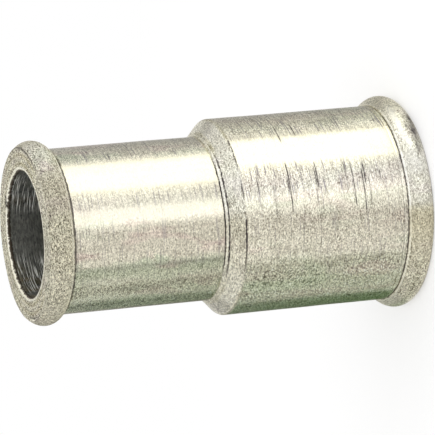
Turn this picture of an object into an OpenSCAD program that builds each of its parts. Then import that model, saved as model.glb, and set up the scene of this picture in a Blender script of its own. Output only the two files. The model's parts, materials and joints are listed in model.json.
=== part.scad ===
// Reducing hose splicer, turned from one steel bar.
// It joins a 3/4 in hose to a 5/8 in hose. Each end has a rounded bead that
// keeps its hose on, and a shoulder between the two tubes stops both hoses.
// Millimetres. It stands on the face of its large end, with +Z along the bore.

/* [Bore] */
// Diameter of the bore that runs from end to end
bore_diameter = 12.1; // [8:0.1:13]
// Bevel that breaks the bore's edge at each mouth
mouth_bevel = 0.2; // [0.1:0.05:0.4]

/* [Large end] */
// Outside diameter of the large tube, for a 3/4 in hose
large_tube_diameter = 19.05; // [18.5:0.05:24]
// Length of the large tube between its bead and the shoulder
large_tube_length = 16.55; // [8:0.05:40]
// How far the large bead stands above its tube
large_bead_height = 0.88; // [0.6:0.02:0.94]
// Length of the large bead from its face to its root
large_bead_length = 2.45; // [2.4:0.05:4]
// Radius of the large bead's rounded crest
large_crest_radius = 1.2; // [0.8:0.05:1.25]
// Angle of the large bead's front cone to the axis
large_front_angle = 50; // [35:1:52]
// Angle of the large bead's back cone to the axis
large_back_angle = 42; // [41:1:60]

/* [Small end] */
// Outside diameter of the small tube, for a 5/8 in hose
small_tube_diameter = 15.875; // [14:0.125:17]
// Length of the small tube between its bead and the shoulder
small_tube_length = 14.85; // [8:0.05:40]
// How far the small bead stands above its tube
small_bead_height = 0.92; // [0.76:0.02:1.2]
// Length of the small bead from its face to its root
small_bead_length = 2.6; // [2.5:0.05:4]
// Radius of the small bead's rounded crest
small_crest_radius = 1.5; // [1:0.05:1.6]
// Angle of the small bead's front cone to the axis
small_front_angle = 38; // [30:1:48]
// Angle of the small bead's back cone to the axis
small_back_angle = 55; // [45:1:62]

/* [Shoulder] */
// Angle of the shoulder's cone to the axis
shoulder_angle = 47; // [35:1:60]
// Radius that breaks the shoulder's outer edge
shoulder_edge_radius = 0.25; // [0.1:0.05:0.6]
// Length of the narrow bevel at the shoulder's root
root_bevel_length = 0.32; // [0.2:0.02:0.5]
// Height of the narrow bevel at the shoulder's root
root_bevel_height = 0.26; // [0.1:0.02:0.4]

/* [Hidden] */

$fn = 144;

// How far the cutter of the bore runs past both faces
overrun = 1;
// How far an arc stands past the corners that it joins, so that it covers them
arc_overlap = 0.0005;

bore_radius = bore_diameter / 2;
large_radius = large_tube_diameter / 2;
small_radius = small_tube_diameter / 2;
cone_foot_radius = small_radius + root_bevel_height;

// Heights above the large end's face
shoulder_edge_z = large_bead_length + large_tube_length;
cone_foot_z = shoulder_edge_z + (large_radius - cone_foot_radius) / tan(shoulder_angle);
shoulder_root_z = cone_foot_z + root_bevel_length;
small_bead_z = shoulder_root_z + small_tube_length;
body_length = small_bead_z + small_bead_length;

// Disc whose arc rounds a crest or an edge
module arc_disc(centre, radius) {
    translate(centre)
        circle(r = radius + arc_overlap);
}

// Half section of a bead, with its face at y = 0 and its root at y = length.
// The crest is an arc that both cones touch without a corner.
module bead_section(tube_radius, height, length, crest_radius, front_angle, back_angle) {
    centre_radius = tube_radius + height - crest_radius;
    back_radius = centre_radius + crest_radius * cos(back_angle);
    back_run = (back_radius - tube_radius) / tan(back_angle);
    crest_y = length - back_run - crest_radius * sin(back_angle);
    front_radius = centre_radius + crest_radius * cos(front_angle);
    front_y = crest_y - crest_radius * sin(front_angle);
    face_radius = front_radius - front_y * tan(front_angle);
    polygon([
        [0, 0],
        [face_radius, 0],
        [front_radius, front_y],
        [back_radius, length - back_run],
        [tube_radius, length],
        [0, length]
    ]);
    intersection() {
        arc_disc([centre_radius, crest_y], crest_radius);
        square([tube_radius + 2 * height, length]);
    }
}

// Half section of the large tube and the shoulder above it.
// An arc joins the tube to the cone, so the outer edge isn't sharp.
module shoulder_section() {
    edge_run = shoulder_edge_radius * tan(shoulder_angle / 2);
    arc_y = shoulder_edge_z - edge_run;
    polygon([
        [0, large_bead_length],
        [large_radius, large_bead_length],
        [large_radius, arc_y],
        [large_radius - edge_run * sin(shoulder_angle), shoulder_edge_z + edge_run * cos(shoulder_angle)],
        [cone_foot_radius, cone_foot_z],
        [small_radius, shoulder_root_z],
        [0, shoulder_root_z]
    ]);
    arc_disc([large_radius - shoulder_edge_radius, arc_y], shoulder_edge_radius);
}

// Half section of the outside, from the large end's face to the small end's
module outer_section() {
    bead_section(
        large_radius, large_bead_height, large_bead_length,
        large_crest_radius, large_front_angle, large_back_angle
    );
    shoulder_section();
    translate([0, shoulder_root_z])
        square([small_radius, small_tube_length]);
    translate([0, body_length])
        mirror([0, 1])
            bead_section(
                small_radius, small_bead_height, small_bead_length,
                small_crest_radius, small_front_angle, small_back_angle
            );
}

// Half section of the bore, opened at both mouths by a 45 degree bevel
module bore_section() {
    mouth_radius = bore_radius + mouth_bevel + overrun;
    polygon([
        [0, -overrun],
        [mouth_radius, -overrun],
        [bore_radius, mouth_bevel],
        [bore_radius, body_length - mouth_bevel],
        [mouth_radius, body_length + overrun],
        [0, body_length + overrun]
    ]);
}

module splicer_body() {
    color([0.76, 0.75, 0.69])
        difference() {
            rotate_extrude()
                outer_section();
            rotate_extrude()
                bore_section();
        }
}

splicer_body();
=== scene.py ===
import json
import math

import bpy
import numpy as np
from mathutils import Matrix, Vector

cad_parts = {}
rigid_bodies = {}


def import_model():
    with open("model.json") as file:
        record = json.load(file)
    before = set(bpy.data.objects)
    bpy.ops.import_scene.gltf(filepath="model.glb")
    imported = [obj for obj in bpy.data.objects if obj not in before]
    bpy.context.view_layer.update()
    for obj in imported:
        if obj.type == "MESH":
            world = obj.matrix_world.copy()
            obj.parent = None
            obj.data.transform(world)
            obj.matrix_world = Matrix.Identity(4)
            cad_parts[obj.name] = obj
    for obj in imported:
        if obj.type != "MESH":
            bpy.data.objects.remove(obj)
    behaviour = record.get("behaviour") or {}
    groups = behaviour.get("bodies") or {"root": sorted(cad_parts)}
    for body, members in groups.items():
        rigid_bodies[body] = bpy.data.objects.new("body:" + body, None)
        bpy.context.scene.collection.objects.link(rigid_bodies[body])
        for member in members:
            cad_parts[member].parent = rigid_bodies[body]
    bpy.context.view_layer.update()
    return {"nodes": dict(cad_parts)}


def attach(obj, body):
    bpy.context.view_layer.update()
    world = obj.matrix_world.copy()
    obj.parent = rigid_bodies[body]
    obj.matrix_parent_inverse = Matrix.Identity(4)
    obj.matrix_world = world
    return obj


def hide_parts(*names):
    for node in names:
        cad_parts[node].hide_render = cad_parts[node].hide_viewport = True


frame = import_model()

mm = 0.001
print("frame loaded:", sorted(frame["nodes"]))


# Small helpers for node trees

def addNode(tree, kind, **settings):
    made = tree.nodes.new(kind)
    for name, value in settings.items():
        setattr(made, name, value)
    return made


def feed(tree, socket, value):
    # A value is either another node's output or a plain number, vector or colour
    if isinstance(value, bpy.types.NodeSocket):
        tree.links.new(value, socket)
    else:
        socket.default_value = value


def calculate(tree, operation, a, b=0.0, clamp=False):
    made = addNode(tree, "ShaderNodeMath", operation=operation, use_clamp=clamp)
    feed(tree, made.inputs[0], a)
    feed(tree, made.inputs[1], b)
    return made.outputs[0]


def times(tree, a, b, clamp=False):
    return calculate(tree, "MULTIPLY", a, b, clamp)


def plus(tree, a, b):
    return calculate(tree, "ADD", a, b)


def minus(tree, a, b):
    return calculate(tree, "SUBTRACT", a, b)


def larger(tree, a, b, clamp=False):
    return calculate(tree, "MAXIMUM", a, b, clamp)


def remap(tree, value, low, high, newLow=0.0, newHigh=1.0, smooth=False):
    made = addNode(tree, "ShaderNodeMapRange", clamp=True)
    made.interpolation_type = "SMOOTHSTEP" if smooth else "LINEAR"
    for index, item in enumerate((value, low, high, newLow, newHigh)):
        feed(tree, made.inputs[index], item)
    return made.outputs[0]


def noise(tree, vector, scale, detail=2.0, roughness=0.5, distortion=0.0):
    made = addNode(tree, "ShaderNodeTexNoise", noise_dimensions="3D")
    feed(tree, made.inputs["Vector"], vector)
    values = {"Scale": scale, "Detail": detail, "Roughness": roughness, "Distortion": distortion}
    for name, item in values.items():
        feed(tree, made.inputs[name], item)
    return made.outputs["Fac"]


def mixColour(tree, factor, a, b, blend="MIX"):
    made = addNode(tree, "ShaderNodeMix", data_type="RGBA", blend_type=blend, clamp_factor=True)
    feed(tree, made.inputs[0], factor)
    feed(tree, made.inputs[6], a)
    feed(tree, made.inputs[7], b)
    return made.outputs[2]


def tinted(tree, colour, tint):
    return mixColour(tree, 1.0, colour, tint, "MULTIPLY")


def combine(tree, x, y, z):
    made = addNode(tree, "ShaderNodeCombineXYZ")
    for socket, item in zip(made.inputs, (x, y, z)):
        feed(tree, socket, item)
    return made.outputs[0]


def separate(tree, vector):
    made = addNode(tree, "ShaderNodeSeparateXYZ")
    feed(tree, made.inputs[0], vector)
    return made.outputs


def vectorMath(tree, operation, *values):
    made = addNode(tree, "ShaderNodeVectorMath", operation=operation)
    for socket, value in zip(made.inputs, values):
        feed(tree, socket, value)
    return made.outputs[0]


def pointValue(tree, name, output="Fac"):
    # Reads one of the mesh's own attributes
    return addNode(tree, "ShaderNodeAttribute", attribute_name=name).outputs[output]


def millimetres(tree):
    # The part's own coordinates, in millimetres
    made = addNode(tree, "ShaderNodeVectorMath", operation="SCALE")
    feed(tree, made.inputs[0], addNode(tree, "ShaderNodeTexCoord").outputs["Object"])
    made.inputs["Scale"].default_value = 1 / mm
    return made.outputs[0]


def newGroup(name, inputs, outputs):
    tree = bpy.data.node_groups.new(name, "ShaderNodeTree")
    for socketName, kind, value in inputs:
        made = tree.interface.new_socket(socketName, in_out="INPUT", socket_type=kind)
        made.default_value = value
    for socketName, kind in outputs:
        tree.interface.new_socket(socketName, in_out="OUTPUT", socket_type=kind)
    entry = addNode(tree, "NodeGroupInput")
    leave = addNode(tree, "NodeGroupOutput")
    return tree, entry.outputs, leave.inputs


def useGroup(tree, group, values):
    made = addNode(tree, "ShaderNodeGroup", node_tree=group)
    for name, value in values.items():
        feed(tree, made.inputs[name], value)
    return made.outputs


# Turned body: sizes in millimetres, the same as the solid's, and then those of its fine wear

body = {
    "boreRadius": 6.05,
    "mouthBevel": 0.2,
    "largeRadius": 9.525,
    "largeTube": 16.55,
    "largeBead": {"height": 0.88, "length": 2.45, "crest": 1.2, "front": 50, "back": 42},
    "smallRadius": 7.9375,
    "smallTube": 14.85,
    "smallBead": {"height": 0.92, "length": 2.6, "crest": 1.5, "front": 38, "back": 55},
    "shoulderAngle": 47,
    "shoulderEdge": 0.25,
    "rootLength": 0.32,
    "rootHeight": 0.26,
    "anglesAround": 288,
    "tubeStep": 0.5,
    "finishStep": 0.125,
    "boreStep": 1.2,
    "besideCorner": (0.03, 0.07, 0.13, 0.2),  # extra outline points, by their distance from a corner
    "besideScratch": 0.07,
    "shortStretch": 0.6,  # a stretch shorter than this has only the first of those points
    "leastInset": 0.0005,  # the skin lies at least this far inside the solid
    "waves": (9, 2.0),  # the most waves round the axis, and their pitch along it
    "waveDepth": 0.006,
    "grooveDepth": 0.03,
    "grooveWidth": 0.045,
    "faceGrooveDepth": 0.012,
    "faceGrooveWidth": 0.08,
    "smallFaceGrooves": (0.5, 1.35),  # distances from the mouth
    "largeFaceGrooves": (0.6, 1.7),
    "scratchWidth": 0.045,
    "scratchFade": 3.0,  # degrees over which a scratch fades at each end
    "scratchInk": 2.4,
    "scratchPatches": (60, 2.0, 10),  # waves that vary a scratch's ink: the most round, pitch, how many
    "scratchPatchStretch": 0.2,
    "seed": 7,
}


# How worn each part of the surface is round the axis, and where shade and highlight are painted on it:
# pairs of azimuth in degrees, counted from the camera's side towards +X, and strength. Sand is the
# plating's grain, scratch its marks round the axis, hue its drift of colour and mottle its blotches.
# The painted shade and highlight channel darkens the colour as painted shade, or paints it pale as a
# painted highlight where it is negative, following how the light falls round the axis, and warmth turns
# the plating beige, or blue where it is negative.
tubeMottle = [
    (-180, 0.8), (-90, 1.2), (-80, 2.4), (-64, 3.0), (-46, 1.8), (-30, 1.0), (-18, 0.7), (10, 0.3),
    (50, 0.4), (60, 1.0), (90, 0.8),
]
wear = {
    "largeTube": {
        "sand": [
            (-180, 1.0), (-110, 1.2), (-90, 1.8), (-78, 2.9), (-66, 2.8), (-56, 2.3), (-48, 1.9),
            (-28, 1.3), (-3, 1.1), (2, 0.8), (11, 0.8), (15, 1.0), (24, 0.9), (29, 0.25), (46, 0.25),
            (54, 1.0), (75, 1.6), (90, 1.4),
        ],
        "scratch": [
            (-180, 0.8), (-70, 0.35), (-20, 0.5), (-3, 0.7), (3, 0.6), (9, 0.7), (12, 1.2), (26, 1.2),
            (30, 0.15), (46, 0.15), (51, 1.1), (68, 0.9), (90, 0.6),
        ],
        "hue": [
            (-180, 0.6), (-60, 1.5), (-20, 0.9), (20, 0.4), (29, 0.0), (47, 0.0), (60, 0.8), (90, 0.8),
        ],
        "mottle": tubeMottle,
        "paintedShadeAndHighlight": [
            (-180, 0.0), (-75, 0.0), (-70, -0.2), (-63, -0.25), (-50, -0.1), (-40, 0.03), (-34, -0.02),
            (-28, -0.12), (-15, -0.05), (-2, 0.1), (4, 0.12), (12, 0.04), (22, 0.05), (25, 0.1),
            (30, 0.02), (45, 0.0), (50, 0.2), (56, 0.0), (65, -0.15), (85, 0.0),
        ],
        "warmth": [
            (-180, 0.0), (5, 0.0), (13, -0.35), (24, -0.35), (30, 0.0), (55, 0.0), (62, 0.4), (75, 0.3),
            (90, 0.0),
        ],
    },
    "smallTube": {
        "sand": [
            (-180, 0.8), (-110, 1.0), (-90, 1.6), (-78, 2.6), (-66, 2.2), (-56, 1.6), (-48, 1.4),
            (-25, 0.9), (-2, 0.8), (4, 0.3), (11, 0.3), (15, 0.7), (22, 0.7), (26, 0.2), (48, 0.2),
            (54, 1.0), (90, 1.1),
        ],
        "scratch": [
            (-180, 0.6), (-70, 0.3), (-3, 0.6), (3, 0.2), (11, 0.2), (14, 0.7), (22, 0.7), (26, 0.1),
            (49, 0.1), (54, 0.8), (90, 0.6),
        ],
        "hue": [
            (-180, 0.8), (-60, 1.0), (-38, 1.1), (-28, 1.8), (-10, 1.7), (12, 0.4), (26, 0.0), (48, 0.0),
            (60, 1.5), (90, 1.2),
        ],
        "mottle": tubeMottle,
        "paintedShadeAndHighlight": [
            (-180, 0.0), (-88, 0.3), (-80, 0.3), (-74, 0.0), (-66, 0.1), (-60, -0.3), (-52, 0.0),
            (-48, 0.1), (-40, -0.15), (-34, 0.05), (-30, 0.22), (-26.5, 0.0), (70, 0.0), (78, 0.12),
            (88, 0.15),
        ],
        "warmth": [(-180, 0.0), (-90, 0.8), (-78, 0.6), (-70, 0.1), (-60, 0.0), (90, 0.0)],
    },
    "shoulder": {
        "sand": [(-180, 1.4), (-85, 2.1), (-50, 1.8), (-25, 1.3), (0, 1.3), (50, 1.1), (90, 1.3)],
        "scratch": [(-180, 0.7), (90, 0.7)],
        "hue": [(-180, 0.6), (-60, 0.5), (-20, 0.4), (0, 0.8), (40, 0.8), (60, 0.8), (90, 0.4)],
        "mottle": [(-180, 0.8), (90, 0.8)],
        "paintedShadeAndHighlight": [
            (-180, 0.0), (-90, 0.0), (-70, -0.35), (-40, -0.25), (-22, 0.0), (-10, 0.07), (8, 0.0),
            (20, -0.22), (32, -0.02), (40, 0.12), (50, 0.14), (60, -0.13), (70, -0.3), (85, 0.0),
        ],
        "warmth": [(-180, 0.0), (-5, 0.2), (3, -0.5), (40, -0.6), (60, -0.3), (75, 0.0)],
    },
    "largeBead": {
        "sand": [(-180, 1.3), (-85, 1.9), (-50, 1.6), (-25, 1.1), (0, 1.0), (50, 1.1), (90, 1.2)],
        "scratch": [(-180, 0.6), (90, 0.6)],
        "hue": [(-180, 0.6), (-60, 0.5), (-20, 0.4), (0, 0.8), (40, 0.9), (60, 0.8), (90, 0.4)],
        "mottle": [(-180, 0.7), (20, 0.6), (30, 1.6), (37, 2.8), (62, 2.8), (72, 0.8), (90, 0.7)],
        "paintedShadeAndHighlight": [
            (-180, 0.0), (-80, -0.25), (-70, -0.3), (-60, 0.15), (-45, -0.05), (-30, 0.04), (-18, 0.12),
            (-7, 0.14), (-3, -0.08), (10, 0.03), (17, -0.25), (24, -0.2), (30, 0.12), (50, 0.28),
            (58, 0.03), (90, 0.0),
        ],
        "warmth": [
            (-180, 0.0), (-70, 0.4), (-30, 0.5), (-14, 1.0), (-7, 0.9), (-2, -0.4), (20, -0.7),
            (40, -0.4), (55, 0.0), (70, 0.4), (90, 0.3),
        ],
    },
    "smallBead": {
        "sand": [(-180, 1.0), (-30, 1.1), (40, 0.9), (70, 1.2), (90, 1.0)],
        "scratch": [(-180, 0.5), (90, 0.5)],
        "hue": [(-180, 0.6), (-60, 0.5), (0, 0.5), (38, 1.4), (70, 1.6), (90, 0.6)],
        "mottle": [(-180, 0.9), (30, 0.8), (45, 1.5), (72, 1.5), (90, 0.9)],
        "paintedShadeAndHighlight": [
            (-180, 0.0), (-90, 0.12), (-78, 0.1), (-68, -0.08), (-60, -0.12), (-46, -0.06), (-34, -0.1),
            (-22, -0.02), (0, 0.05), (10, 0.14), (25, 0.2), (36, 0.12), (46, 0.0), (62, 0.02), (72, 0.1),
            (90, 0.16),
        ],
        "warmth": [(-180, 0.2), (30, 0.2), (42, -0.2), (56, -0.6), (72, -0.5), (85, 0.0)],
    },
    "face": {
        "sand": [(-180, 1.5), (90, 1.5)],
        "scratch": [(-180, 1.0), (90, 1.0)],
        "hue": [(-180, 0.8), (90, 0.8)],
        "mottle": [(-180, 1.2), (90, 1.2)],
        "paintedShadeAndHighlight": [(-180, 0.0), (-65, 0.1), (-15, 0.1), (5, 0.0)],
        "warmth": [(-180, 0.1), (90, 0.1)],
    },
    "bore": {
        "sand": [(-180, 1.0), (90, 1.0)],
        # In the bore, scratch sets the strength of its pale streaks, which are painted highlights
        "scratch": [
            (-180, 0.05), (-164, 0.1), (-154, 1.0), (-124, 1.2), (-112, 0.3), (-90, 0.2), (0, 0.6),
            (90, 0.2), (112, 0.35), (122, 0.9), (154, 1.0), (162, 0.1),
        ],
        "hue": [
            (-180, 0.0), (-165, 0.1), (-135, 1.2), (-90, 1.5), (0, 0.6), (90, 1.5), (125, 1.1),
            (150, 0.2),
        ],
        "mottle": [(-180, 0.4), (90, 0.4)],
        "paintedShadeAndHighlight": [(-180, 0.0), (90, 0.0)],
        "warmth": [(-180, 0.0), (90, 0.0)],
    },
}
# How strong the dark line is at each kind of corner, how deep its groove, and how yellow its surroundings
# are. The dark lines are painted shade in the corners, with some grime in the grooves, and along the
# shoulder's rounded edge.
grooveShadeAndHalo = {
    "edge": [
        (-180, 0.6), (-90, 0.3), (-40, 0.15), (-28, 0.6), (-24, 1.0), (-2, 1.0), (1, 0.1), (8, 0.15),
        (11, 0.8), (17, 0.8), (21, 0.15), (28, 0.4), (32, 0.8), (48, 0.8), (56, 0.15), (90, 0.3),
    ],
    "root": [
        (-180, 0.7), (-90, 0.2), (-48, 0.15), (-38, 0.7), (-30, 1.0), (36, 1.0), (48, 0.3), (90, 0.3),
    ],
    "bead": [(-180, 0.8), (-75, 0.9), (56, 1.0), (64, 0.4), (90, 0.5)],
    "halo": [(-180, 0.2), (-80, 0.8), (-55, 0.8), (-45, 0.0), (42, 0.0), (52, 1.0), (78, 1.0), (90, 0.6)],
}
lineNames = ("edge", "root", "bead")
wearOf = {
    "largeFace": "face", "largeBead": "largeBead", "largeTube": "largeTube", "shoulder": "shoulder",
    "smallTube": "smallTube", "smallBead": "smallBead", "smallFace": "face", "smallMouth": "face",
    "bore": "bore", "largeMouth": "face",
}
finishNames = ("turnedTube", "turnedEnd", "mattBead", "brightRim", "drilledBore")
finishOf = {
    "largeFace": "mattBead", "largeBead": "turnedEnd", "largeTube": "turnedTube", "shoulder": "turnedEnd",
    "smallTube": "turnedTube", "smallBead": "mattBead", "smallFace": "mattBead", "smallMouth": "brightRim",
    "bore": "drilledBore", "largeMouth": "brightRim",
}
# Marks at one place: nicks and scuffs with their dents, and painted light: a dark outline along the
# small face's top edge and the tubes' bottom edges as painted shade, pale patches on the top of the beads
# as painted highlights, and dark and pale stripes and patches on the tubes, painted to follow the light
# and shade of their reflections. Columns: zone, distance along it in mm (from its end where it is
# negative), azimuth, half widths along in mm and round in degrees, ink (negative is pale), and depth of
# the dent in mm
spots = [
    ("smallFace", -0.42, 146.25, 0.22, 1.0, 2.30, 0.06),
    ("smallFace", -0.18, 148.75, 0.20, 1.0, 2.00, 0.07),
    ("smallFace", -0.28, 151.25, 0.20, 1.0, 2.00, 0.04),
    ("smallMouth", 0.08, 152.50, 0.18, 1.0, 2.40, 0.06),
    ("smallMouth", 0.16, 156.25, 0.08, 1.2, 0.80, 0.02),
    ("smallFace", 0.19, 72.0, 0.10, 16.0, 0.85, 0.015),
    ("smallFace", 0.29, 51.0, 0.09, 7.0, 0.80, 0.015),
    ("smallFace", 0.34, 62.0, 0.10, 3.0, 0.70, 0.02),
    ("smallBead", 1.95, 58.0, 0.50, 9.0, -0.10, 0.00),
    ("smallBead", -0.20, -30.0, 0.30, 5.0, -0.14, 0.00),
    ("smallFace", 0.05, 84.0, 0.08, 9.0, 0.70, 0.01),
    ("smallFace", 0.04, 99.0, 0.08, 9.0, 0.60, 0.01),
    ("smallFace", 0.36, -93.0, 0.08, 2.6, 0.90, 0.03),
    ("smallFace", 0.06, -80.5, 0.08, 2.6, 0.90, 0.02),
    ("smallFace", 0.10, -88.0, 0.08, 4.5, -1.00, 0.00),
    ("smallFace", 0.26, -86.0, 0.08, 4.0, 1.00, 0.03),
    ("largeBead", 0.55, 43.0, 0.35, 9.0, 0.35, 0.02),
    ("largeBead", 2.00, 48.0, 0.40, 15.0, -1.00, 0.00),
    ("largeBead", 1.55, 32.0, 0.30, 4.0, -0.70, 0.00),
    ("largeBead", 0.85, 38.0, 0.25, 4.5, 0.62, 0.01),
    ("largeBead", 0.95, 28.0, 0.20, 3.5, 0.60, 0.01),
    ("largeBead", 0.50, 49.0, 0.22, 5.0, 0.55, 0.01),
    ("largeBead", 1.30, 34.0, 0.12, 1.8, 0.55, 0.02),
    ("largeBead", 1.35, 43.0, 0.10, 2.2, 0.45, 0.02),
    ("largeBead", 1.15, 24.0, 0.10, 1.6, 0.45, 0.02),
    ("smallTube", 12.9, -41.0, 1.10, 9.0, -0.15, 0.00),
    ("smallTube", 5.0, -29.5, 7.0, 1.6, 0.13, 0.00),
    ("smallTube", 4.0, -44.5, 6.0, 1.8, 0.12, 0.00),
    ("smallTube", 8.5, -49.5, 5.0, 1.6, 0.14, 0.00),
    ("smallTube", 9.5, -67.0, 6.0, 2.0, 0.14, 0.00),
    ("smallTube", 3.5, -72.0, 4.0, 2.0, 0.14, 0.00),
    ("smallTube", 7.4, -87.5, 9.0, 3.5, 0.40, 0.00),
    ("largeTube", 11.0, -33.5, 5.0, 1.4, 0.08, 0.00),
    ("largeTube", 5.0, -66.0, 6.0, 1.8, 0.12, 0.00),
    ("largeTube", 8.0, -87.0, 9.0, 2.5, 0.30, 0.00),
    ("largeTube", 8.5, -73.0, 2.2, 3.0, -0.10, 0.00),
    ("largeTube", 13.6, -68.0, 2.0, 2.5, 0.22, 0.00),
    ("largeTube", 3.0, -69.0, 1.6, 2.5, 0.22, 0.00),
    ("largeTube", 15.0, -55.0, 1.6, 4.0, 0.14, 0.00),
    ("largeTube", 6.0, -57.0, 1.8, 3.0, -0.08, 0.00),
]
# Long scratches round the large tube: height above the large end's face in mm, first and last azimuth,
# ink, and depth in mm
scratches = [
    (14.20, -1, 28, 0.62, 0.016), (11.32, 11, 26, 0.75, 0.020), (11.48, 13, 24, 0.50, 0.012),
    (11.60, 3, 11, 0.35, 0.008), (7.72, 0, 26, 0.60, 0.016), (6.74, -4, 21, 0.60, 0.014),
    (6.52, 11, 24, 0.75, 0.020), (15.85, -2, 16, 0.35, 0.008), (13.21, -26, -6, 0.40, 0.010),
    (11.44, -33, -17, 0.40, 0.010), (14.35, 12, 19, 0.60, 0.016), (12.15, 48, 59, 0.60, 0.018),
    (13.85, 43, 57, 0.55, 0.016), (4.92, 13, 19, 0.60, 0.014), (17.40, 12, 20, 0.50, 0.012),
    (8.40, 9, 25, 0.40, 0.010), (6.15, -1, 15, 0.40, 0.010), (14.49, -16, -8, 0.30, 0.008),
]
# Fine real roughness of each zone's surface, in mm
grit = {
    "largeTube": 0.001, "smallTube": 0.001, "shoulder": 0.006, "largeBead": 0.006, "smallBead": 0.011,
    "face": 0.006, "bore": 0.004,
}


def beadPoints(tubeRadius, bead):
    # From the face's outer corner to the root: a cone, an arc tangent to both cones, and a cone.
    # Each row is radius and distance from the face.
    front, back = math.radians(bead["front"]), math.radians(bead["back"])
    centre = tubeRadius + bead["height"] - bead["crest"]
    backRadius = centre + bead["crest"] * math.cos(back)
    backRun = (backRadius - tubeRadius) / math.tan(back)
    crestAt = bead["length"] - backRun - bead["crest"] * math.sin(back)
    turn = np.linspace(-front, back, 17)
    arc = np.stack([centre + bead["crest"] * np.cos(turn), crestAt + bead["crest"] * np.sin(turn)], 1)
    faceRadius = arc[0, 0] - arc[0, 1] * math.tan(front)
    return np.vstack([[faceRadius, 0], arc, [tubeRadius, bead["length"]]])


def outlineParts():
    # The closed half section, from the bore's mouth at the large end, up the outside and down the bore
    large = beadPoints(body["largeRadius"], body["largeBead"])
    small = beadPoints(body["smallRadius"], body["smallBead"])
    angle = math.radians(body["shoulderAngle"])
    edgeZ = body["largeBead"]["length"] + body["largeTube"]
    footRadius = body["smallRadius"] + body["rootHeight"]
    footZ = edgeZ + (body["largeRadius"] - footRadius) / math.tan(angle)
    rootZ = footZ + body["rootLength"]
    length = rootZ + body["smallTube"] + body["smallBead"]["length"]
    turn = np.linspace(0, angle, 7)
    edgeRadius = body["shoulderEdge"]
    arcZ = edgeZ - edgeRadius * math.tan(angle / 2)
    arcCentre = body["largeRadius"] - edgeRadius
    edge = np.stack([arcCentre + edgeRadius * np.cos(turn), arcZ + edgeRadius * np.sin(turn)], 1)
    small[:, 1] = length - small[:, 1]
    bore, bevel = body["boreRadius"], body["mouthBevel"]
    mouth = bore + bevel
    return {
        "largeFace": np.array([[mouth, 0], large[0]]),
        "largeBead": large,
        "largeTube": np.vstack([large[-1], edge[0]]),
        "shoulder": np.vstack([edge, [footRadius, footZ], [body["smallRadius"], rootZ]]),
        "smallTube": np.array([[body["smallRadius"], rootZ], small[-1]]),
        "smallBead": small[::-1],
        "smallFace": np.array([small[0], [mouth, length]]),
        "smallMouth": np.array([[mouth, length], [bore, length - bevel]]),
        "bore": np.array([[bore, length - bevel], [bore, bevel]]),
        "largeMouth": np.array([[bore, bevel], [mouth, 0]]),
    }


def sampleOutline(parts):
    # Lays points along each stretch at its own step, with extra ones beside each corner and scratch
    steps = {"largeTube": body["tubeStep"], "smallTube": body["tubeStep"], "bore": body["boreStep"]}
    points, zones, lengths, start = [], [], [], 0.0
    for zone, (name, corners) in enumerate(parts.items()):
        run = np.concatenate([[0], np.cumsum(np.hypot(*np.diff(corners, axis=0).T))])
        total = run[-1]
        step = steps.get(name, body["finishStep"])
        isShort = total < body["shortStretch"]
        beside = np.array(body["besideCorner"][:1] if isShort else body["besideCorner"])
        cuts = np.zeros(0)
        if name == "largeTube":
            heights = np.array([scratch[0] for scratch in scratches]) - corners[0, 1]
            cuts = (heights[:, None] + body["besideScratch"] * np.array([-1, 0, 1])).ravel()
        even = np.linspace(0, total, max(2, int(math.ceil(total / step)) + 1))
        at = np.unique(np.round(np.concatenate([even, beside, total - beside, cuts]), 5))
        at = at[(at >= 0) & (at < total - 1e-6)]
        points.append(np.stack([np.interp(at, run, corners[:, 0]), np.interp(at, run, corners[:, 1])], 1))
        zones.append(np.full(len(at), zone))
        lengths.append(start + at)
        start += total
    return np.vstack(points), np.concatenate(zones), np.concatenate(lengths)


def wander(around, along, rng, waves, pitch, count=24):
    # Smooth periodic noise of about unit size: a sum of cosines around the axis and along the outline
    turns = rng.integers(-waves, waves + 1, count)[:, None, None]
    climbs = rng.normal(0, 1 / pitch, count)[:, None, None]
    phases = rng.uniform(0, 2 * math.pi, count)[:, None, None]
    return np.cos(turns * around + climbs * along + phases).sum(0) * math.sqrt(2 / count)


def bell(away, width):
    return np.exp(-(away / width) ** 2)


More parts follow.
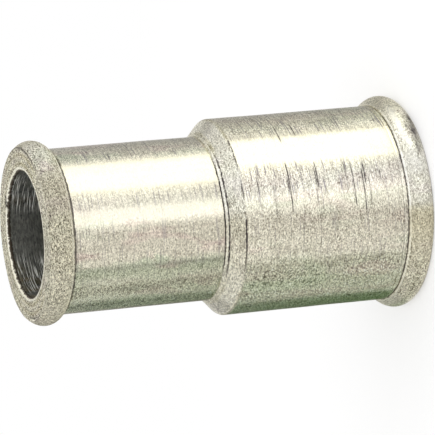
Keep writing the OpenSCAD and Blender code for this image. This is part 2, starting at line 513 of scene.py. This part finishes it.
def buildBody():
    # A revolved grid: point (i, j) is outline point i turned by angle j and moved inwards by fine wear
    parts = outlineParts()
    outline, zones, along = sampleOutline(parts)
    names = list(parts)
    starts = {name: float(along[zones == index].min()) for index, name in enumerate(names)}
    ends = {name: starts[name] + float(np.hypot(*np.diff(parts[name], axis=0).T).sum()) for name in names}
    smallGrooves = [ends["smallFace"] - place for place in body["smallFaceGrooves"]]
    largeGrooves = [starts["largeFace"] + place for place in body["largeFaceGrooves"]]
    marks = {
        "faceGrooves": smallGrooves + largeGrooves,
        "mouthEdge": ends["smallFace"],
        "boreStart": starts["bore"],
        "largeCorner": starts["largeBead"],
        "largeRoot": starts["largeTube"],
        "edge": starts["shoulder"] + 0.1,  # the middle of its rounding
        "smallRoot": starts["smallTube"],
        "cornerFoot": starts["smallTube"] - math.hypot(body["rootLength"], body["rootHeight"]),
        "smallBeadRoot": starts["smallBead"],
    }
    count, turns = len(outline), body["anglesAround"]
    ahead, behind = np.roll(outline, -1, 0), np.roll(outline, 1, 0)
    tangent = ahead - behind
    tangent /= np.hypot(*tangent.T)[:, None]
    normal = np.stack([tangent[:, 1], -tangent[:, 0]], 1)
    angle = np.linspace(0, 2 * math.pi, turns, endpoint=False)
    aroundGrid, alongGrid = np.meshgrid(angle, along)
    azimuth = np.degrees(np.arctan2(np.cos(angle), -np.sin(angle)))

    def worn(table):
        at, level = np.array(table).T
        return np.interp(azimuth, at, level, period=360)

    def spread(channel):
        # One channel of the wear tables, at every point of the grid
        return np.array([worn(wear[wearOf[name]][channel]) for name in names])[zones]

    rng = np.random.default_rng(body["seed"])
    shift = -body["waveDepth"] * (1 + wander(aroundGrid, alongGrid, rng, *body["waves"]))
    roughness = np.array([grit[wearOf[name]] for name in names])[zones]
    shift -= roughness[:, None] * rng.random((count, turns))
    grooves = {
        "smallRoot": "root", "cornerFoot": "root", "edge": "edge", "largeRoot": "bead",
        "smallBeadRoot": "bead",
    }
    for groove, name in grooves.items():
        ring = bell(along - marks[groove], body["grooveWidth"])[:, None]
        shift -= body["grooveDepth"] * worn(grooveShadeAndHalo[name]) * ring
    for place in marks["faceGrooves"]:
        shift -= body["faceGrooveDepth"] * bell(along - place, body["faceGrooveWidth"])[:, None]
    # This attribute starts with the painted shade and highlight of the tables, and the spots and scratches
    # add their marks to it
    stainAndPaintedLight = spread("paintedShadeAndHighlight")
    for zone, place, turn, wide, turnWidth, ink, dent in spots:
        first = starts[zone] if place >= 0 else ends[zone]
        away = (azimuth - turn + 180) % 360 - 180
        mark = bell(along - first - place, wide)[:, None] * bell(away, turnWidth)
        stainAndPaintedLight += ink * mark
        shift -= dent * mark
    for height, firstTurn, lastTurn, ink, dent in scratches:
        place = starts["largeTube"] + height - parts["largeTube"][0, 1]
        across = bell(along - place, body["scratchWidth"])[:, None]
        inside = np.minimum(azimuth - firstTurn, lastTurn - azimuth) / body["scratchFade"]
        inside = np.clip(inside + 0.5, 0, 1)
        stretched = alongGrid * body["scratchPatchStretch"]
        patches = wander(aroundGrid, stretched, rng, *body["scratchPatches"])
        patchy = 0.75 + 0.25 * np.clip(patches, -1, 1)  # from half strength to full
        stainAndPaintedLight += body["scratchInk"] * ink * across * inside * patchy
        shift -= dent * across * inside
    shift = np.minimum(shift, -body["leastInset"])
    points = outline[:, None, :] + normal[:, None, :] * shift[..., None]
    radius, height = points[..., 0], points[..., 1]
    vertices = np.stack([radius * np.cos(aroundGrid), radius * np.sin(aroundGrid), height], -1) * mm
    row = np.arange(count)[:, None] * turns
    nextRow = (np.arange(count)[:, None] + 1) % count * turns
    column = np.arange(turns)[None, :]
    nextColumn = (column + 1) % turns
    corners = [row + column, row + nextColumn, nextRow + nextColumn, nextRow + column]
    faces = np.stack(corners, -1).reshape(-1, 4)
    mesh = bpy.data.meshes.new("splicerSkin")
    mesh.vertices.add(count * turns)
    mesh.vertices.foreach_set("co", vertices.ravel())
    mesh.loops.add(faces.size)
    mesh.loops.foreach_set("vertex_index", faces.ravel().astype(np.int32))
    mesh.polygons.add(len(faces))
    mesh.polygons.foreach_set("loop_start", np.arange(0, faces.size, 4, dtype=np.int32))
    mesh.update(calc_edges=True)
    mesh.validate()
    mesh.polygons.foreach_set("use_smooth", np.ones(len(faces), bool))
    slots = np.array([finishNames.index(finishOf[name]) for name in names])[zones]
    mesh.polygons.foreach_set("material_index", np.repeat(slots, turns).astype(np.int32))

    def attribute(name, values):
        data = mesh.attributes.new(name, "FLOAT" if values.ndim == 2 else "FLOAT_VECTOR", "POINT").data
        data.foreach_set("value" if values.ndim == 2 else "vector", values.astype(np.float32).ravel())

    attribute("along", np.repeat(along[:, None], turns, 1))
    attribute("wear", np.stack([spread(channel) for channel in ("sand", "scratch", "hue")], -1))
    attribute("mottle", spread("mottle"))
    attribute("warmth", spread("warmth"))
    lineInk = np.stack([worn(grooveShadeAndHalo[name]) for name in lineNames], 1)
    attribute("lines", np.repeat(lineInk[None], count, 0))
    attribute("halo", np.repeat(worn(grooveShadeAndHalo["halo"])[None], count, 0))
    attribute("stainAndPaintedLight", stainAndPaintedLight)
    made = bpy.data.objects.new("splicerSkin", mesh)
    bpy.context.scene.collection.objects.link(made)
    print("body:", count, "points in the outline,", len(faces) * 2, "triangles")
    return made, marks


# Surface patterns, in millimetres of the part's own coordinates

def crystalLevel(tree, vector, scale):
    # One random level for each crystal
    made = addNode(tree, "ShaderNodeTexVoronoi", voronoi_dimensions="3D", feature="F1")
    feed(tree, made.inputs["Vector"], vector)
    feed(tree, made.inputs["Scale"], scale)
    return separate(tree, made.outputs["Color"])[0]


def buildGrain():
    # Plating crystals, their blotches, long bands, dark pits and pale specks. Grain, blotches and
    # bands run about 0, and pits and specks from 0 to 1.
    tree, entry, leave = newGroup(
        "platingGrain",
        [
            ("Crystals", "NodeSocketFloat", 7.0),
            ("Blotches", "NodeSocketFloat", 1.4),
            ("Stretch", "NodeSocketFloat", 1.0),
        ],
        [(name, "NodeSocketFloat") for name in ("Grain", "Blotch", "Bands", "Pits", "Specks")],
    )
    spot = millimetres(tree)
    x, y, z = separate(tree, spot)
    stretch = entry["Stretch"]
    flat = combine(tree, times(tree, x, stretch), times(tree, y, stretch), pointValue(tree, "along"))
    crystal = minus(tree, crystalLevel(tree, flat, entry["Crystals"]), 0.5)
    cloud = minus(tree, noise(tree, flat, entry["Crystals"], detail=3, roughness=0.7), 0.5)
    crystalShare, cloudShare = 0.9, 2.2
    grains = plus(tree, times(tree, crystal, crystalShare), times(tree, cloud, cloudShare))
    feed(tree, leave["Grain"], grains)
    blotches = noise(tree, spot, entry["Blotches"], detail=3, roughness=0.6)
    feed(tree, leave["Blotch"], minus(tree, blotches, 0.5))
    bandStretch, dotsPerCrystal = 0.07, 0.55
    drawn = combine(tree, x, y, times(tree, z, bandStretch))
    bands = noise(tree, drawn, scale=1.5, detail=3, roughness=0.6)
    feed(tree, leave["Bands"], minus(tree, bands, 0.5))
    elsewhere = vectorMath(tree, "ADD", flat, (31.0, 17.0, 5.0))
    dots = noise(tree, elsewhere, times(tree, entry["Crystals"], dotsPerCrystal), detail=2, roughness=0.5)
    feed(tree, leave["Pits"], remap(tree, dots, low=0.36, high=0.27, smooth=True))
    feed(tree, leave["Specks"], remap(tree, dots, low=0.66, high=0.74, smooth=True))
    return tree


def buildTurning():
    # Marks that run round the axis: fine streaks, broad rings, and separate scratches
    tree, entry, leave = newGroup(
        "turningMarks",
        [
            ("Pitch", "NodeSocketFloat", 9.0),
            ("Reach", "NodeSocketFloat", 0.3),
            ("Scratch Level", "NodeSocketFloat", 0.64),
            ("Scratch Pitch", "NodeSocketFloat", 6.5),
            ("Scratch Reach", "NodeSocketFloat", 0.35),
        ],
        [(name, "NodeSocketFloat") for name in ("Streaks", "Rings", "Scratches")],
    )
    place = separate(tree, millimetres(tree))
    along = pointValue(tree, "along")

    def aroundNoise(reach, pitch, shift, detail, roughness):
        # The smaller the reach, the longer the marks, and the larger the pitch, the closer they lie
        x = plus(tree, times(tree, place[0], reach), shift)
        y = times(tree, place[1], reach)
        drawn = combine(tree, x, y, times(tree, along, pitch))
        return noise(tree, drawn, 1.0, detail, roughness)

    streaks = aroundNoise(entry["Reach"], entry["Pitch"], shift=0.0, detail=3, roughness=0.6)
    feed(tree, leave["Streaks"], minus(tree, streaks, 0.5))
    rings = aroundNoise(reach=0.04, pitch=1.7, shift=9.0, detail=3, roughness=0.6)
    feed(tree, leave["Rings"], minus(tree, rings, 0.5))
    reach, pitch = entry["Scratch Reach"], entry["Scratch Pitch"]
    level = aroundNoise(reach, pitch, shift=40.0, detail=1, roughness=0.5)
    softness = 0.07
    ended = plus(tree, entry["Scratch Level"], softness)
    feed(tree, leave["Scratches"], remap(tree, level, entry["Scratch Level"], ended, smooth=True))
    return tree


def buildHue():
    # Faint drift of the plating's colour, in two sets of clouds drawn out along the axis
    tree, entry, leave = newGroup(
        "platingHue",
        [
            ("Green", "NodeSocketColor", (0.9, 1.0, 0.9, 1)),
            ("Pink", "NodeSocketColor", (1.0, 0.92, 0.95, 1)),
        ],
        [("Tint", "NodeSocketColor")],
    )
    drawn = vectorMath(tree, "MULTIPLY", millimetres(tree), (1.0, 1.0, 0.3))
    first = noise(tree, drawn, scale=0.3, detail=2, roughness=0.55, distortion=0.5)
    elsewhere = vectorMath(tree, "ADD", drawn, (50.0, 0.0, 0.0))
    second = noise(tree, elsewhere, scale=0.5, detail=2, roughness=0.55, distortion=0.4)
    greenness = remap(tree, first, low=0.47, high=0.62, smooth=True)
    pinkness = remap(tree, second, low=0.52, high=0.66, smooth=True)
    tint = mixColour(tree, greenness, (1, 1, 1, 1), entry["Green"])
    tint = mixColour(tree, pinkness, tint, entry["Pink"])
    feed(tree, leave["Tint"], tint)
    return tree


def buildLine():
    # A line round the axis at one place along the outline, which noise makes wobble and break
    tree, entry, leave = newGroup(
        "cornerLine",
        [
            ("Spot", "NodeSocketFloat", 0.0),
            ("Width", "NodeSocketFloat", 0.06),
            ("Wobble", "NodeSocketFloat", 0.2),
            ("Ink", "NodeSocketFloat", 1.0),
        ],
        [("Line", "NodeSocketFloat"), ("Halo", "NodeSocketFloat")],
    )
    spot = millimetres(tree)
    swaying = minus(tree, noise(tree, spot, scale=1.3, detail=4, roughness=0.75), 0.5)
    place = plus(tree, pointValue(tree, "along"), times(tree, swaying, entry["Wobble"]))
    away = calculate(tree, "ABSOLUTE", minus(tree, place, entry["Spot"]))
    elsewhere = vectorMath(tree, "ADD", spot, (0.0, 70.0, 0.0))
    ragged = noise(tree, elsewhere, scale=2.6, detail=3, roughness=0.65)
    thickness = remap(tree, ragged, low=0.34, high=0.62, newLow=0.45, newHigh=1.2)
    width = times(tree, entry["Width"], thickness)
    line = remap(tree, away, width, times(tree, width, 0.5), smooth=True)
    gapFade, haloReach = 0.28, 3.2  # the stronger the ink, the fewer the gaps; widths that the halo spans
    gapLevel = minus(tree, 0.5, times(tree, entry["Ink"], gapFade))
    broken = remap(tree, ragged, gapLevel, 0.5, newLow=0.25, newHigh=1.0, smooth=True)
    feed(tree, leave["Line"], times(tree, times(tree, line, broken), entry["Ink"]))
    haloed = remap(tree, away, times(tree, entry["Width"], haloReach), 0.0, smooth=True)
    feed(tree, leave["Halo"], haloed)
    return tree


groups = {"grain": buildGrain(), "turning": buildTurning(), "hue": buildHue(), "line": buildLine()}


def platedSteel(name, look, lines=(), paleLines=()):
    # One finish of the plated steel, with painted shade along its dark lines and painted highlights along
    # its pale lines. Each look gives its colour, roughness, pattern sizes and strengths.
    made = bpy.data.materials.new(name)
    made.use_nodes = True
    tree = made.node_tree
    shader = tree.nodes["Principled BSDF"]
    grain = useGroup(tree, groups["grain"], {
        "Crystals": look["crystals"], "Blotches": look["blotches"], "Stretch": look["stretch"],
    })
    turning = useGroup(tree, groups["turning"], {
        "Pitch": look["pitch"], "Reach": look["reach"], "Scratch Level": look["scratchLevel"],
        "Scratch Pitch": look["scratchPitch"], "Scratch Reach": look["scratchReach"],
    })
    tint = useGroup(tree, groups["hue"], {"Green": look["green"], "Pink": look["pink"]})["Tint"]

    def total(start, *terms):
        # The start plus each pattern times its strength
        value = start
        for pattern, strength in terms:
            value = plus(tree, value, times(tree, pattern, strength))
        return value

    def grey(value):
        return combine(tree, value, value, value)

    ink = dict(zip(lineNames, separate(tree, pointValue(tree, "lines", "Vector"))))

    def cornerLine(spot, width, channel):
        values = {"Spot": spot, "Width": width, "Ink": ink[channel] if channel else 1.0}
        return useGroup(tree, groups["line"], values)

    sand, scratched, hued = separate(tree, pointValue(tree, "wear", "Vector"))
    stainAndPaintedLight = pointValue(tree, "stainAndPaintedLight")
    haloed = pointValue(tree, "halo")
    hued = times(tree, hued, look["hue"], clamp=True)
    colour = mixColour(tree, hued, look["colour"], tinted(tree, look["colour"], tint))
    sandy = total(
        0.0, (grain["Grain"], look["grainShade"]), (grain["Pits"], -look["pitShade"]),
        (grain["Specks"], look["speckShade"]),
    )
    blotchy = total(0.0, (grain["Blotch"], look["blotchShade"]), (grain["Bands"], look["bandShade"]))
    hatched = total(0.0, (turning["Streaks"], look["streakShade"]), (turning["Rings"], look["ringShade"]))
    shade = total(0.0, (sandy, sand), (blotchy, pointValue(tree, "mottle")), (hatched, scratched))
    # Where this attribute is positive it darkens, as real marks and painted shade, and where negative it
    # paints a highlight
    patchy = times(tree, calculate(tree, "ABSOLUTE", stainAndPaintedLight), grain["Blotch"])
    broken = total(stainAndPaintedLight, (patchy, look["breakUp"]))
    dark = larger(tree, broken, 0.0, clamp=True)
    # Dark lines round the axis: painted shade in the corners, grooves and edges, with some grime in the
    # grooves
    for spot, width, depth, channel in lines:
        line = cornerLine(spot, width, channel)
        dark = larger(tree, dark, times(tree, line["Line"], depth))
        halo = times(tree, times(tree, line["Halo"], haloed), look["haloShade"])
        colour = mixColour(tree, halo, colour, tinted(tree, colour, look["halo"]))
    # Pale: a painted highlight, from the stain attribute where it is negative and from the pale lines
    pale = times(tree, broken, -1.0, clamp=True)
    for spot, width, depth, channel in paleLines:
        pale = larger(tree, pale, times(tree, cornerLine(spot, width, channel)["Line"], depth))
    shaded = vectorMath(tree, "MULTIPLY_ADD", grey(shade), look["shadeColour"], colour)
    # Scratches: dark marks on the steel, and in the bore pale streaks painted as highlights
    scratch = times(tree, times(tree, turning["Scratches"], look["scratchShade"]), scratched, clamp=True)
    finished = mixColour(tree, scratch, shaded, look["scratchAndGlintColour"])
    finished = mixColour(tree, pale, finished, look["paintedHighlight"])
    cast = vectorMath(tree, "MULTIPLY_ADD", grey(pointValue(tree, "warmth")), look["beige"], (1, 1, 1))
    finished = mixColour(tree, dark, tinted(tree, finished, cast), look["dirt"])
    feed(tree, shader.inputs["Base Color"], finished)
    roughness = total(look["roughness"], (grain["Blotch"], look["roughSpread"]), (dark, look["dirtAndShadeRough"]))
    feed(tree, shader.inputs["Roughness"], roughness)
    height = total(
        0.0, (grain["Grain"], look["grainHeight"]), (grain["Pits"], -look["pitHeight"]),
        (times(tree, turning["Streaks"], scratched), look["streakHeight"]),
        (times(tree, turning["Scratches"], scratched), -look["scratchHeight"]),
    )
    bump = addNode(tree, "ShaderNodeBump")
    feed(tree, bump.inputs["Height"], height)
    bump.inputs["Strength"].default_value = 1.0
    bump.inputs["Distance"].default_value = mm
    feed(tree, shader.inputs["Normal"], bump.outputs[0])
    shader.inputs["Metallic"].default_value = look["metallic"]
    shader.inputs["Anisotropic"].default_value = look["anisotropy"]
    shader.inputs["Anisotropic Rotation"].default_value = 0.25  # a quarter turn
    return made


# Looks: colours, pattern scales per mm, strengths of shade, and heights of the bumps in mm
tubeLook = {
    "colour": (0.64, 0.61, 0.51, 1), "shadeColour": (0.58, 0.57, 0.50), "paintedHighlight": (0.95, 0.93, 0.82, 1),
    "dirt": (0.07, 0.058, 0.06, 1),
    "green": (0.90, 1.0, 0.93, 1), "pink": (1.0, 0.90, 0.95, 1), "hue": 0.5, "halo": (1.0, 0.96, 0.72, 1),
    "haloShade": 0.6,
    "crystals": 11.5, "blotches": 1.6, "stretch": 0.68, "pitch": 11.0, "reach": 0.5,
    "scratchLevel": 0.6, "scratchPitch": 6.5, "scratchReach": 0.33,
    "scratchAndGlintColour": (0.15, 0.13, 0.165, 1), "scratchShade": 0.6,
    "grainShade": 1.05, "blotchShade": 0.12, "bandShade": 0.4, "streakShade": 1.5, "ringShade": 0.15,
    "speckShade": 0.1, "pitShade": 0.5,
    "roughness": 0.33, "roughSpread": 0.06, "dirtAndShadeRough": 0.2, "anisotropy": 1.0, "metallic": 1.0,
    "breakUp": 1.0, "beige": (0.0, -0.03, -0.14),
    "grainHeight": 0.0005, "streakHeight": 0.03, "scratchHeight": 0.006, "pitHeight": 0.001,
}
endLook = {
    **tubeLook, "colour": (0.63, 0.60, 0.49, 1), "green": (0.98, 0.995, 0.98, 1),
    "pink": (1.0, 0.97, 1.04, 1), "hue": 0.6,
    "crystals": 9.4, "blotches": 2.2, "stretch": 0.75, "pitch": 6.0, "reach": 0.4, "scratchLevel": 0.66,
    "scratchReach": 0.5,
    "grainShade": 0.98, "blotchShade": 0.6, "bandShade": 0.0, "streakShade": 0.6, "ringShade": 0.1,
    "speckShade": 0.15, "pitShade": 0.5,
    "scratchShade": 0.3, "breakUp": 3.0,
    "roughness": 0.42, "roughSpread": 0.12, "anisotropy": 0.95, "metallic": 0.8,
    "grainHeight": 0.001, "streakHeight": 0.004, "scratchHeight": 0.004, "pitHeight": 0.002,
}
beadLook = {
    **tubeLook, "colour": (0.465, 0.44, 0.35, 1), "shadeColour": (0.46, 0.45, 0.38),
    "dirt": (0.08, 0.07, 0.06, 1),
    "green": (0.97, 1.0, 0.98, 1), "pink": (1.0, 0.96, 1.05, 1), "hue": 0.6,
    "crystals": 10.0, "blotches": 2.4, "stretch": 0.74, "pitch": 4.0, "reach": 0.5, "scratchLevel": 0.7,
    "scratchReach": 0.5,
    "grainShade": 1.35, "blotchShade": 0.85, "bandShade": 0.0, "streakShade": 0.1, "ringShade": 0.15,
    "speckShade": 0.5, "pitShade": 0.8,
    "scratchShade": 0.1,
    "roughness": 0.8, "roughSpread": 0.15, "anisotropy": 0.0, "metallic": 0.45,
    "grainHeight": 0.012, "streakHeight": 0.002, "scratchHeight": 0.004, "pitHeight": 0.02,
}
rimLook = {
    **beadLook, "colour": (0.88, 0.86, 0.76, 1), "roughness": 0.5, "metallic": 0.5, "grainShade": 0.1,
    "blotchShade": 0.3, "speckShade": 0.1,
    "pitShade": 0.2, "dirt": (0.06, 0.045, 0.03, 1), "grainHeight": 0.006, "pitHeight": 0.01,
}
# The bore's scratches are pale streaks painted as highlights, and its own colour is dark
boreLook = {
    **tubeLook, "colour": (0.12, 0.122, 0.108, 1), "shadeColour": (0.26, 0.25, 0.22),
    "dirt": (0.03, 0.02, 0.01, 1),
    "green": (1.0, 0.88, 0.58, 1), "pink": (1.0, 0.80, 0.50, 1), "hue": 1.0,
    "crystals": 6.0, "blotches": 1.0, "stretch": 0.5, "pitch": 3.2, "reach": 0.2,
    "scratchLevel": 0.555, "scratchPitch": 13.5, "scratchReach": 0.5,
    "scratchAndGlintColour": (1.0, 1.0, 0.93, 1), "scratchShade": 1.0,
    "grainShade": 0.4, "blotchShade": 0.3, "bandShade": 0.1, "streakShade": 1.8, "ringShade": 0.3,
    "speckShade": 0.3, "pitShade": 0.1,
    "roughness": 0.45, "roughSpread": 0.1, "anisotropy": 0.3, "metallic": 0.35,
    "grainHeight": 0.004, "streakHeight": 0.05, "scratchHeight": -0.03, "pitHeight": 0.01,
}
skin, marks = buildBody()
# Each line has its place along the outline, half width, depth of ink, and the table of grooveShadeAndHalo
# that it follows. The dark lines are painted shade in the corners, grooves and edges, with some grime in
# the grooves, and the pale lines are painted highlights along the fillets, edges and the mouth's rim.
largeRootLine = (marks["largeRoot"], 0.085, 0.95, "bead")
smallRootLine = (marks["smallRoot"], 0.09, 1.0, "root")
rootMiddle = (marks["smallRoot"] + marks["cornerFoot"]) / 2
tubeLines = [
    largeRootLine, (marks["largeRoot"] + 0.44, 0.05, 0.35, "bead"),
    (marks["smallBeadRoot"], 0.09, 0.9, "bead"), smallRootLine,
]
tubePale = [(marks["largeRoot"] + 0.3, 0.07, 0.5, "bead")]
endLines = [
    largeRootLine, smallRootLine, (marks["cornerFoot"], 0.11, 1.0, "root"),
    (marks["edge"], 0.12, 1.0, "edge"), (marks["largeCorner"], 0.13, 0.7, None),
]
endPale = [
    (marks["largeRoot"] - 0.2, 0.1, 1.0, "bead"), (marks["edge"] - 0.2, 0.08, 0.5, "edge"),
    (rootMiddle, 0.1, 0.6, "root"),
]
# The wide dark band at the small bead's root is painted shade on the bead's back cone, and the face
# grooves get painted shade too
beadLines = [(marks["smallBeadRoot"], 0.5, 0.9, "bead")]
beadLines += [(place, 0.1, 0.3, None) for place in marks["faceGrooves"]]
beadPale = [(marks["mouthEdge"] - 0.06, 0.13, 0.6, None), (marks["smallBeadRoot"] + 0.6, 0.16, 0.35, None)]
# The inner part of the mouth's bevel and the start of the bore are painted dark, as shade at the mouth
boreLines = [(marks["boreStart"], 0.25, 1.0, None)]
finishes = {
    "turnedTube": (tubeLook, tubeLines, tubePale),
    "turnedEnd": (endLook, endLines, endPale),
    "mattBead": (beadLook, beadLines, beadPale),
    "brightRim": (rimLook, boreLines),
    "drilledBore": (boreLook, boreLines),
}
for name in finishNames:
    skin.data.materials.append(platedSteel(name, *finishes[name]))
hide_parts("splicer_body")
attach(skin, "root")
print("materials set")


# Floor: the camera and reflections see it white, except for the shade near the part

floorLook = {
    "size": 3.0,
    "colour": (0.96, 0.96, 0.96, 1),
    "roughness": 0.9,
    "specular": 0.1,
    "whiteFrom": 0.012,  # distances from the part's middle, in metres
    "whiteTo": 0.08,
    "nearWhite": 0.45,
}


def addFloor():
    half = floorLook["size"] / 2
    mesh = bpy.data.meshes.new("floor")
    corners = [(-half, -half, 0), (half, -half, 0), (half, half, 0), (-half, half, 0)]
    mesh.from_pydata(corners, [], [(0, 1, 2, 3)])
    made = bpy.data.objects.new("floor", mesh)
    bpy.context.scene.collection.objects.link(made)
    paint = bpy.data.materials.new("palePaper")
    paint.use_nodes = True
    tree = paint.node_tree
    shader = tree.nodes["Principled BSDF"]
    shader.inputs["Base Color"].default_value = floorLook["colour"]
    shader.inputs["Roughness"].default_value = floorLook["roughness"]
    shader.inputs["Specular IOR Level"].default_value = floorLook["specular"]
    rays = addNode(tree, "ShaderNodeLightPath").outputs
    mirrored = larger(tree, rays["Is Glossy Ray"], rays["Is Transmission Ray"])
    seen = larger(tree, rays["Is Camera Ray"], mirrored)
    away = addNode(tree, "ShaderNodeVectorMath", operation="LENGTH")
    feed(tree, away.inputs[0], addNode(tree, "ShaderNodeTexCoord").outputs["Object"])
    white = remap(
        tree, away.outputs["Value"], floorLook["whiteFrom"], floorLook["whiteTo"],
        floorLook["nearWhite"], 1.0, smooth=True,
    )
    glow = addNode(tree, "ShaderNodeEmission")
    glow.inputs["Strength"].default_value = 1.0
    mix = addNode(tree, "ShaderNodeMixShader")
    feed(tree, mix.inputs[0], times(tree, seen, white))
    feed(tree, mix.inputs[1], shader.outputs[0])
    feed(tree, mix.inputs[2], glow.outputs[0])
    feed(tree, tree.nodes["Material Output"].inputs["Surface"], mix.outputs[0])
    mesh.materials.append(paint)


addFloor()


# Lamps: azimuth is counted from the camera's side towards +X, and distances are in metres

def aim(azimuth):
    turn = math.radians(azimuth)
    return Vector((math.sin(turn), -math.cos(turn), 0))


def addSoftBox(name, width, depth, level):
    data = bpy.data.lights.new(name, "AREA")
    data.shape = "RECTANGLE"
    data.size, data.size_y = width, depth
    data.energy = level * width * depth * math.pi
    made = bpy.data.objects.new(name, data)
    bpy.context.scene.collection.objects.link(made)
    return made


def addLamp(name, azimuth, distance, width, low, high, level):
    # An upright soft box that faces the axis, from one height to another
    made = addSoftBox(name, width, high - low, level)
    made.location = aim(azimuth) * distance + Vector((0, 0, (low + high) / 2))
    made.rotation_euler = aim(azimuth).to_track_quat("Z", "Y").to_euler()


def addCeiling(name, fromX, toX, depth, height, level):
    # A soft box overhead that faces down
    made = addSoftBox(name, toX - fromX, depth, level)
    made.location = ((fromX + toX) / 2, 0, height)


lamps = {
    "sideBox": dict(azimuth=78, distance=0.25, width=0.233, low=0.001, high=0.14, level=1.5),
    "frontBox": dict(azimuth=14, distance=0.25, width=0.11, low=0.001, high=0.14, level=1.6),
    "gapBox": dict(azimuth=41, distance=0.27, width=0.12, low=0.001, high=0.14, level=0.9),
    "leftBox": dict(azimuth=-30, distance=0.27, width=0.32, low=0.001, high=0.14, level=0.8),
    "backBox": dict(azimuth=180, distance=0.30, width=0.26, low=0.001, high=0.25, level=0.5),
}
ceilings = {
    "topRight": dict(fromX=0.0, toX=0.6, depth=1.0, height=0.3, level=0.95),
    "topLeft": dict(fromX=-0.6, toX=0.0, depth=1.0, height=0.3, level=0.80),
}
for name, values in lamps.items():
    addLamp(name, **values)
for name, values in ceilings.items():
    addCeiling(name, **values)

# Glowing sheets lie just above the floor round the part. Only the metal's reflections see them: the
# bright ones glow like lamps and give the highlight bands, and the dark ones stand in for shade in the
# reflections. Each covers what the tube mirrors towards the camera between two azimuths.
sheetShape = {"radius": 8.6 * mm, "near": 0.005, "far": 0.16, "height": 0.0002, "rows": 9}
sheets = {
    "darkEdge": {"from": -79, "to": -89, "tone": (0.03, 0.06, 0.0)},
    "nearShade": {"from": -62, "to": -79, "tone": (0.11, 0.20, 0.06)},
    "farShade": {"from": -43, "to": -62, "tone": (0.68, 0.74, 0.58)},
    "lowStripe": {"from": -38, "to": -43, "tone": (0.92, 0.93, 0.82)},
    "midShade": {"from": -29, "to": -38, "tone": (0.76, 0.79, 0.66)},
    "leftSheet": {"from": -29, "to": -0.5, "tone": (0.98, 0.94, 0.88)},
    "frontSheet": {"from": -0.5, "to": 13, "tone": (2.2, 2.2, 2.15)},
    "gapSheet": {"from": 13, "to": 26, "tone": (1.3, 1.27, 1.3)},
    "sideSheet": {"from": 26, "to": 50.8, "tone": (3.0, 3.0, 2.6)},
    "fadeSheet": {"from": 50.8, "to": 57, "tone": (1.15, 1.15, 1.1)},
    "sideShade": {"from": 57, "to": 66, "tone": (0.88, 0.88, 0.84)},
    "backShade": {"from": 66, "to": 84, "tone": (0.55, 0.545, 0.52)},
}


def addSheet(name, values):
    # A wedge bounded by the lines on which the tube, at two angles round it, mirrors the camera
    rows = []
    for side in np.radians(np.linspace(values["from"], values["to"], sheetShape["rows"])):
        start = sheetShape["radius"] * np.array([math.sin(side), -math.cos(side)])
        away = np.array([math.sin(2 * side), -math.cos(2 * side)])
        rows.append([*(start + sheetShape["near"] * away), sheetShape["height"]])
        rows.append([*(start + sheetShape["far"] * away), sheetShape["height"]])
    step = np.arange(sheetShape["rows"] - 1) * 2
    faces = np.stack([step, step + 1, step + 3, step + 2], 1)
    mesh = bpy.data.meshes.new(name)
    mesh.from_pydata(rows, [], faces.tolist())
    made = bpy.data.objects.new(name, mesh)
    bpy.context.scene.collection.objects.link(made)
    # Its material glows with the sheet's tone, as a lamp or as shade seen only in reflections
    paint = bpy.data.materials.new(name + "Paper")
    paint.use_nodes = True
    paint.cycles.emission_sampling = "NONE"
    tree = paint.node_tree
    glow = addNode(tree, "ShaderNodeEmission")
    glow.inputs["Color"].default_value = (*values["tone"], 1)
    feed(tree, tree.nodes["Material Output"].inputs["Surface"], glow.outputs[0])
    mesh.materials.append(paint)
    made.visible_camera = False
    made.visible_diffuse = False
    made.visible_shadow = False
    made.visible_transmission = False


for name, values in sheets.items():
    addSheet(name, values)

worldLook = {"light": 0.3, "seen": 1.0}  # strengths for other rays and for the camera's
world = bpy.data.worlds.new("studio")
bpy.context.scene.world = world
world.use_nodes = True
worldTree = world.node_tree
background = worldTree.nodes["Background"]
worldRays = addNode(worldTree, "ShaderNodeLightPath").outputs
worldLevel = remap(worldTree, worldRays["Is Camera Ray"], 0.0, 1.0, worldLook["light"], worldLook["seen"])
feed(worldTree, background.inputs["Strength"], worldLevel)
background.inputs["Color"].default_value = (1, 1, 1, 1)
print("lights set")


# Camera: the part's axis runs to the left in the picture, so the camera lies on its side

view = {
    "tilt": 18.99,
    "roll": 5.244,
    "distance": 359.02 * mm,
    "aimHeight": 15.9574 * mm,
    "right": 2.4375 * mm,
    "up": 0.2971 * mm,
    "focalPixels": 3700.5,
    "framePixels": 435,
}


def addCamera():
    tilt, roll = math.radians(view["tilt"]), math.radians(view["roll"])
    leans, stands = math.sin(tilt), math.cos(tilt)
    right = Vector((-math.sin(roll), -leans * math.cos(roll), -stands * math.cos(roll)))
    up = Vector((math.cos(roll), -leans * math.sin(roll), -stands * math.sin(roll)))
    back = right.cross(up)
    place = Vector((0, 0, view["aimHeight"])) + back * view["distance"]
    place -= right * view["right"] + up * view["up"]
    data = bpy.data.cameras.new("camera")
    data.sensor_width = 36
    data.lens = view["focalPixels"] * data.sensor_width / view["framePixels"]
    data.clip_start, data.clip_end = 0.01, 10
    made = bpy.data.objects.new("camera", data)
    bpy.context.scene.collection.objects.link(made)
    made.matrix_world = Matrix.Translation(place) @ Matrix((right, up, back)).transposed().to_4x4()
    bpy.context.scene.camera = made


addCamera()
bpy.context.scene.view_settings.view_transform = "Standard"
print("camera set")
